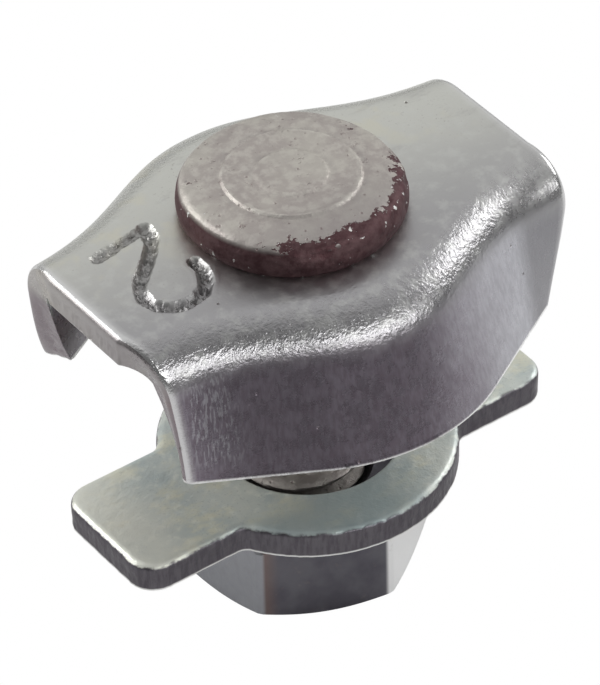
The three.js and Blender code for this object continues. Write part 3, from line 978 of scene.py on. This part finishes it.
def screw_material():
    n = Nodes("screw_zinc_plating")
    x, y, z = n.position()
    flat = n.new("ShaderNodeVectorMath", operation="LENGTH")
    n.put(flat.inputs[0], n.stretched((1.0, 1.0, 0.0)))
    radius = flat.outputs["Value"]
    cloud = n.noise(1.6, 3.0)
    mottle = n.noise(0.35, 4.0, 0.65)
    grain = n.noise(0.1, 3.0, 0.6)
    zinc = n.mix(n.span(mottle, 0.4, 0.65), (0.48, 0.44, 0.415), (0.60, 0.57, 0.53))
    zinc = n.mix(n.span(cloud, 0.4, 0.65, 0.0, 0.5), zinc, (0.64, 0.62, 0.56))
    # painted shade: the head is painted darker towards its near side
    zinc = n.mix(n.span(y, -0.6, -3.0, 0.0, 0.6), zinc, (0.33, 0.30, 0.30))
    uneven = n.span(n.noise(0.6, 4.0, 0.65), 0.44, 0.62)
    for ring in HEAD_RINGS:  # painted highlight along the crest, painted shade along the foot
        crest = n.times(n.span(radius, ring - 0.14, ring - 0.04), n.span(radius, ring + 0.04, ring))
        foot = n.times(n.span(radius, ring, ring + 0.08), n.span(radius, ring + 0.34, ring + 0.1))
        zinc = n.mix(n.times(crest, uneven, 0.5), zinc, (0.76, 0.74, 0.68))
        zinc = n.mix(n.times(foot, uneven, 0.4), zinc, (0.38, 0.35, 0.34))
    maroon = n.mix(n.span(mottle, 0.35, 0.65), (0.105, 0.055, 0.06), (0.17, 0.105, 0.11))
    # worn to maroon along the near edge; down the wall the head's maroon tint is painted dark as a
    # painted reflection
    chip = n.noise(0.6, 4.0, 0.7)
    edge = n.span(radius, 2.6, 3.15)
    toward = n.plus(n.times(y, -0.85), n.times(x, 0.12))
    worn = n.times(edge, n.span(toward, 0.4, 2.4))
    worn = n.span(n.plus(chip, n.times(worn, 0.3)), 0.64, 0.68)
    worn = n.times(worn, n.span(radius, 2.5, 2.8))
    on_head = n.span(z, CAP_TOP - 0.1, CAP_TOP)
    # painted reflection: the head's wall is painted dark maroon
    wall = n.times(n.span(z, CAP_TOP + 0.98, CAP_TOP + 0.82), on_head)
    wall = n.times(wall, n.span(chip, 0.7, 0.62, 0.6, 1.0))
    dark = n.math("MAXIMUM", n.times(worn, on_head), wall)
    pits = n.times(n.span(n.cells(0.3), 0.2, 0.08), n.span(n.noise(0.7), 0.46, 0.56))
    stains = n.noise(0.5, 5.0, 0.75, n.stretched((1.0, 1.5, 1.0), (0.0, 0.0, 0.6)))
    stains = n.span(stains, 0.6, 0.7)
    dark = n.math("MAXIMUM", dark, n.times(n.math("MAXIMUM", pits, stains), 0.45))
    colour = n.mix(dark, zinc, maroon)
    bare = n.times(n.span(n.noise(0.3, 3.0, 0.6), 0.66, 0.71), n.span(radius, 2.6, 3.0))
    colour = n.mix(n.times(bare, on_head), colour, (0.85, 0.85, 0.83))
    rough = n.plus(n.span(mottle, 0.3, 0.7, 0.5, 0.62), n.times(dark, 0.05))
    normal = n.bump(n.noise(0.3, 3.0, 0.6), 0.035)
    normal = n.bump(grain, 0.01, normal)
    normal = n.bump(n.times(dark, -1.0), 0.04, normal)
    return n.finish(colour, rough, normal)


def plate_material():
    n = Nodes("plate_zinc_plating")
    x, y, z = n.position()
    cloud = n.noise(1.8, 3.0)
    mottle = n.noise(0.35, 4.0, 0.6)
    hue = n.noise(1.3, 3.0, 0.6, n.stretched((1.0, 1.6, 1.0), (0.0, 0.0, 0.7)))
    zinc = n.mix(n.span(cloud, 0.35, 0.65), (0.55, 0.62, 0.61), (0.72, 0.76, 0.71))
    zinc = n.mix(n.span(hue, 0.48, 0.72, 0.0, 0.7), zinc, (0.86, 0.84, 0.66))
    zinc = n.mix(n.span(mottle, 0.5, 0.7, 0.0, 0.5), zinc, (0.90, 0.92, 0.84))
    speck = n.span(n.noise(0.08, 3.0, 0.7), 0.58, 0.68)
    zinc = n.mix(n.times(speck, 0.35), zinc, (0.38, 0.41, 0.40))
    # the left lug is painted paler and yellower: its own yellow tint, and painted light
    zinc = n.mix(n.span(n.plus(x, cloud), -4.0, -5.8, 0.0, 0.6), zinc, (0.92, 0.91, 0.80))
    # painted shade and painted reflection of the cap's dark flange: darker and bluer along the near
    # edge of the disc
    near = n.times(n.span(y, -1.6, -3.2), n.span(x, 2.2, 0.2), n.span(x, -5.4, -3.6), 0.7)
    zinc = n.mix(near, zinc, (0.30, 0.37, 0.38))
    fringe = n.span(mottle, 0.35, 0.65, -0.03, 0.03)
    wall = n.span(n.plus(z, fringe), PLATE_TOP - 0.08, PLATE_TOP - 0.16)
    streaks = n.noise(0.14, 3.0, 0.6, n.stretched((1.0, 1.0, 0.2)))
    dark = n.mix(n.span(streaks, 0.35, 0.65), (0.11, 0.10, 0.115), (0.15, 0.14, 0.155))
    colour = n.mix(wall, zinc, dark)
    # painted highlight: a pale line along the lower edge
    rim = n.span(z, PLATE_BOTTOM + 0.13, PLATE_BOTTOM + 0.07)
    colour = n.mix(n.times(rim, 0.9), colour, (0.95, 0.95, 0.93))
    # the passivation scatters light, which the bare sheared wall does not
    n.put(n.shader.inputs["Metallic"], n.span(wall, 0.0, 1.0, 0.5, 1.0))
    rough = n.span(mottle, 0.3, 0.7, 0.34, 0.46)
    normal = n.bump(n.noise(0.3, 3.0, 0.6), 0.02)
    normal = n.bump(n.noise(0.08, 3.0, 0.6), 0.006, normal)
    crinkle = n.noise(0.28, 3.0, 0.6, n.stretched((1.0, 1.0, 0.6)))
    normal = n.bump(n.times(crinkle, wall), 0.03, normal)
    return n.finish(colour, rough, normal)


def nut_material():
    n = Nodes("nut_zinc_plating")
    x, y, _ = n.position()
    cloud = n.noise(1.4, 3.0)
    mottle = n.noise(0.3, 4.0, 0.6)
    zinc = n.mix(n.span(cloud, 0.35, 0.65), (0.12, 0.115, 0.135), (0.165, 0.16, 0.18))
    # painted light: the left flat and the corner beside it are painted lighter, the corner browner,
    # and the right flat near white as a painted highlight
    left, corner, right = [n.along(x, y, NUT_TURN + math.radians(a)) for a in (180, 210, 300)]
    zinc = n.mix(n.span(corner, 3.7, 3.97, 0.0, 0.6), zinc, (0.25, 0.17, 0.145))
    zinc = n.mix(n.span(left, 3.3, 3.42), zinc, (0.36, 0.365, 0.39))
    zinc = n.mix(n.span(right, 3.3, 3.42), zinc, (0.97, 0.97, 0.97))
    zinc = n.mix(n.span(mottle, 0.6, 0.8, 0.0, 0.2), zinc, (0.40, 0.33, 0.30))
    rough = n.span(mottle, 0.3, 0.7, 0.3, 0.45)
    normal = n.bump(n.noise(0.35, 3.0, 0.6), 0.02)
    normal = n.bump(n.noise(0.1, 3.0, 0.6), 0.006, normal)
    return n.finish(zinc, rough, normal)


# ---- stage, light and camera

FLOOR_HALF, FLOOR_LEVEL = 1.2, -0.00002  # metres; just under the nut
# What the floor reflects: bright round the object and behind it, dimmer in front. Each is a
# brightness and the distance from the middle at which it holds, in metres.
FLOOR_MIDDLE = (0.03, 0.045, 0.0)
FLOOR_NEAR, FLOOR_FAR = (0.9, 0.073), (0.25, 0.09)


def show_white(tree, out, reflected, white):
    """The camera sees plain white, and everything else meets the reflected shader."""
    new, link = tree.nodes.new, tree.links.new
    path, pick = new("ShaderNodeLightPath"), new("ShaderNodeMixShader")
    white.inputs["Color"].default_value = (1, 1, 1, 1)
    white.inputs["Strength"].default_value = 1.0
    link(path.outputs["Is Camera Ray"], pick.inputs[0])
    link(reflected.outputs[0], pick.inputs[1])
    link(white.outputs[0], pick.inputs[2])
    link(pick.outputs[0], out.inputs[0])


def build_floor():
    corners = [(-1, -1), (1, -1), (1, 1), (-1, 1)]
    points = [(x * FLOOR_HALF, y * FLOOR_HALF, FLOOR_LEVEL) for x, y in corners]
    mesh = bpy.data.meshes.new("floor")
    mesh.from_pydata(points, [], [(0, 1, 2, 3)])
    floor = bpy.data.objects.new("floor", mesh)
    bpy.context.scene.collection.objects.link(floor)
    material = bpy.data.materials.new("pale_floor")
    material.use_nodes = True
    tree = material.node_tree
    tree.nodes.clear()
    new, link = tree.nodes.new, tree.links.new
    out = new("ShaderNodeOutputMaterial")
    place = new("ShaderNodeTexCoord")
    radius = new("ShaderNodeVectorMath")
    radius.operation = "LENGTH"
    fade = new("ShaderNodeMapRange")
    fade.interpolation_type = "SMOOTHSTEP"
    values = (FLOOR_NEAR[1], FLOOR_FAR[1], FLOOR_NEAR[0], FLOOR_FAR[0])
    for socket, value in zip(fade.inputs[1:], values):
        socket.default_value = value
    lit = new("ShaderNodeBsdfDiffuse")
    shifted = new("ShaderNodeVectorMath")
    shifted.operation = "SUBTRACT"
    shifted.inputs[1].default_value = FLOOR_MIDDLE
    link(place.outputs["Object"], shifted.inputs[0])
    link(shifted.outputs[0], radius.inputs[0])
    link(radius.outputs["Value"], fade.inputs[0])
    link(fade.outputs[0], lit.inputs["Color"])
    show_white(tree, out, lit, new("ShaderNodeEmission"))
    mesh.materials.append(material)


SKY_AXIS = (0.35, 0.5, 0.8)  # the tent's brightest direction, leaning away from the camera
SKY_STRENGTH = 2.0
SKY = [  # cosine of the angle to that direction, moved to 0 to 1, and the brightness there
    (0.0, 0.15),
    (0.5, 0.16),
    (0.62, 0.22),
    (0.74, 0.4),
    (0.84, 0.58),
    (0.92, 0.68),
    (1.0, 0.76),
]


def build_world():
    world = bpy.data.worlds.new("tent")
    bpy.context.scene.world = world
    world.use_nodes = True
    tree = world.node_tree
    tree.nodes.clear()
    new, link = tree.nodes.new, tree.links.new
    out = new("ShaderNodeOutputWorld")
    coordinate = new("ShaderNodeTexCoord")
    toward = new("ShaderNodeVectorMath")
    toward.operation = "DOT_PRODUCT"
    toward.inputs[1].default_value = Vector(SKY_AXIS).normalized()
    half = new("ShaderNodeMath")
    half.operation = "MULTIPLY_ADD"
    half.inputs[1].default_value = 0.5
    half.inputs[2].default_value = 0.5
    ramp = new("ShaderNodeValToRGB")
    link(coordinate.outputs["Generated"], toward.inputs[0])
    link(toward.outputs["Value"], half.inputs[0])
    link(half.outputs[0], ramp.inputs[0])
    stops = ramp.color_ramp.elements
    while len(stops) < len(SKY):
        stops.new(0.5)
    for stop, (at, value) in zip(stops, SKY):
        stop.position = at
        stop.color = (*[value / SKY_STRENGTH] * 3, 1)
    tent = new("ShaderNodeBackground")
    tent.inputs["Strength"].default_value = SKY_STRENGTH
    link(ramp.outputs["Color"], tent.inputs["Color"])
    show_white(tree, out, tent, new("ShaderNodeBackground"))


LIGHT_AIM = Vector((0, 0, 0.01))
SOFT_BOXES = [  # name, place, width and height in metres, watts
    ("front_box", (0.04, -0.26, 0.1), (0.32, 0.07), 0.3),
    ("right_box", (0.26, -0.03, 0.12), (0.13, 0.1), 0.18),
    ("left_box", (-0.19, 0.19, 0.13), (0.14, 0.14), 0.36),
]


def build_light(name, position, size, power):
    light = bpy.data.lights.new(name, "AREA")
    light.shape = "RECTANGLE"
    light.size, light.size_y = size
    light.energy = power
    lamp = bpy.data.objects.new(name, light)
    bpy.context.scene.collection.objects.link(lamp)
    lamp.location = position
    lamp.rotation_mode = "QUATERNION"
    lamp.rotation_quaternion = (LIGHT_AIM - lamp.location).to_track_quat("-Z", "Y")


# The camera: where it looks from and its roll in degrees, how far off and at what in metres, and
# its lens and sensor in millimetres
AZIMUTH, ELEVATION, ROLL = -35.525, 39.994, -1.4535
DISTANCE = 0.15346
AIM = (0.0000836, -0.0000917, 0.0076989)
LENS, SENSOR = 276.21, 36.0


def build_camera():
    a, e, roll = math.radians(AZIMUTH), math.radians(ELEVATION), math.radians(ROLL)
    back = Vector((math.sin(a) * math.cos(e), -math.cos(a) * math.cos(e), math.sin(e)))
    right = Vector((math.cos(a), math.sin(a), 0))
    up = back.cross(right)
    turned_right = right * math.cos(roll) + up * math.sin(roll)
    turned_up = up * math.cos(roll) - right * math.sin(roll)
    camera = bpy.data.cameras.new("camera")
    camera.lens, camera.sensor_width = LENS, SENSOR
    camera.clip_start, camera.clip_end = 0.005, 10
    eye = bpy.data.objects.new("camera", camera)
    bpy.context.scene.collection.objects.link(eye)
    turn = Matrix((turned_right, turned_up, back)).transposed()
    place = Vector(AIM) + back * DISTANCE
    eye.matrix_world = Matrix.Translation(place) @ turn.to_4x4()
    bpy.context.scene.camera = eye


build_cap(cap_material())
build_screw(screw_material())
build_plate(plate_material())
build_nut(nut_material())
build_floor()
build_world()
for box in SOFT_BOXES:
    build_light(*box)
build_camera()
bpy.context.scene.view_settings.view_transform = "Standard"
